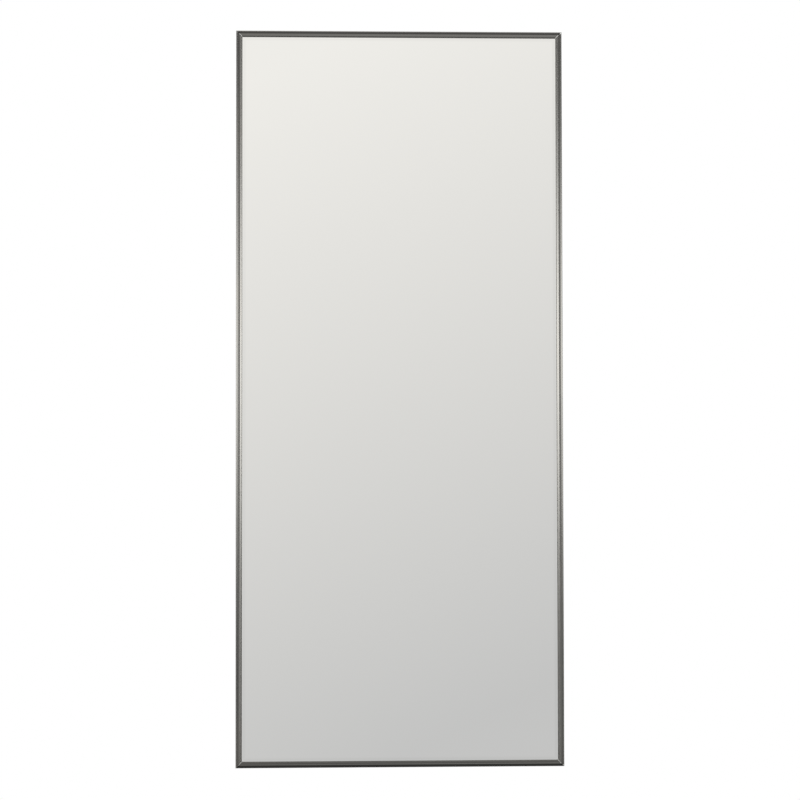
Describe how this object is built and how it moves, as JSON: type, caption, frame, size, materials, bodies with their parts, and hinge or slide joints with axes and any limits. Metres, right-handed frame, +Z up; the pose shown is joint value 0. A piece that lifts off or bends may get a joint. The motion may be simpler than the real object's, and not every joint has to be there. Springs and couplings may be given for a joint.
{
  "type": "wall mirror",
  "caption": "Tall rectangular wall mirror in a slim mitred half-round metal frame, backed by board, with swinging D-ring hangers and wall bumpers.",
  "frame": {"origin": "middle of the frame's width and height, on the plane where the rubber bumpers meet the wall", "axes": "+Z up, +Y into the wall, +X to the right seen from the front; the mirror faces -Y"},
  "size_m": [0.8, 0.035, 1.8],
  "materials": {
    "frame_metal": "dark warm grey anodised satin, brushed along each rail",
    "mirror_glass": "clear silvered float glass, polished",
    "foam": "white closed cell foam",
    "fibreboard": "bare medium density fibreboard",
    "glazing_tape": "black foam tape",
    "block_plastic": "dark moulded plastic",
    "zinc_steel": "bright zinc plate",
    "dark_steel": "black oxide",
    "spring_steel": "tempered blue grey strip",
    "yellow_zinc": "yellow passivated zinc plate",
    "bumper_rubber": "matt black rubber"
  },
  "bodies": {
    "mirror_frame": {"top_rail": "frame_metal", "bottom_rail": "frame_metal", "left_stile": "frame_metal", "right_stile": "frame_metal", "mirror_glass": "mirror_glass", "foam_sheet": "foam", "backing_board": "fibreboard", "top_glazing_tape": "glazing_tape", "bottom_glazing_tape": "glazing_tape", "left_glazing_tape": "glazing_tape", "right_glazing_tape": "glazing_tape", "setting_blocks": "block_plastic", "top_edge_spacers": "block_plastic", "left_edge_spacers": "block_plastic", "right_edge_spacers": "block_plastic", "corner_key_top_left": "zinc_steel", "corner_key_top_right": "zinc_steel", "corner_key_bottom_left": "zinc_steel", "corner_key_bottom_right": "zinc_steel", "key_plate_top_left": "zinc_steel", "key_plate_top_right": "zinc_steel", "key_plate_bottom_left": "zinc_steel", "key_plate_bottom_right": "zinc_steel", "key_screws_top_left": "dark_steel", "key_screws_top_right": "dark_steel", "key_screws_bottom_left": "dark_steel", "key_screws_bottom_right": "dark_steel", "top_spring_clips": "spring_steel", "bottom_spring_clips": "spring_steel", "left_spring_clips": "spring_steel", "right_spring_clips": "spring_steel", "left_hanger_strap": "zinc_steel", "right_hanger_strap": "zinc_steel", "left_hanger_screws": "yellow_zinc", "right_hanger_screws": "yellow_zinc", "bumper_top_left": "bumper_rubber", "bumper_top_right": "bumper_rubber", "bumper_bottom_left": "bumper_rubber", "bumper_bottom_right": "bumper_rubber"},
    "left_ring": {"left_hanger_ring": "zinc_steel"},
    "right_ring": {"right_hanger_ring": "zinc_steel"}
  },
  "joints": [
    {"name": "left_ring_pivot", "type": "hinge", "parent": "mirror_frame", "child": "left_ring", "pos_m": [-0.34, -0.01117, 0.6], "axis": [-1, 0, 0], "range_deg": [0, 177]},
    {"name": "right_ring_pivot", "type": "hinge", "parent": "mirror_frame", "child": "right_ring", "pos_m": [0.34, -0.01117, 0.6], "axis": [-1, 0, 0], "range_deg": [0, 177]}
  ]
}
